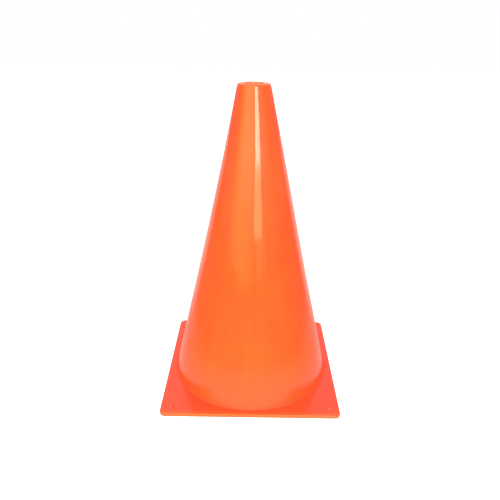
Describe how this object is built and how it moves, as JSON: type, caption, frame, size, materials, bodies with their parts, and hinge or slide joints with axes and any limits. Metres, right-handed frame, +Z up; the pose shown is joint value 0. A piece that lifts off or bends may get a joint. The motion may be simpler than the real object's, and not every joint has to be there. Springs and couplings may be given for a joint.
{
  "type": "sports marker cone",
  "caption": "Hollow orange plastic marker cone with an open round mouth, plugged by its foot into a square base plate with rounded corners and small grip feet.",
  "frame": {"origin": "on the floor under the middle of the base plate, which is also the cone's axis", "axes": "+Z up along the cone's axis, +X and +Y along the sides of the square plate, -Y towards the viewer of the picture"},
  "size_m": [0.178, 0.178, 0.305],
  "materials": {
    "cone_plastic": "glossy moulded orange polyethylene",
    "plate_plastic": "satin moulded orange polyethylene",
    "foot_rubber": "satin orange soft plastic"
  },
  "bodies": {
    "base": {"base_plate": "plate_plastic", "corner_foot_front_left": "foot_rubber", "corner_foot_front_right": "foot_rubber", "corner_foot_back_left": "foot_rubber", "corner_foot_back_right": "foot_rubber"},
    "cone": {"cone_body": "cone_plastic"}
  },
  "joints": [
    {"name": "body_lift", "type": "slide", "parent": "base", "child": "cone", "axis": [0, 0, 1], "range_m": [0, 0.05]}
  ]
}
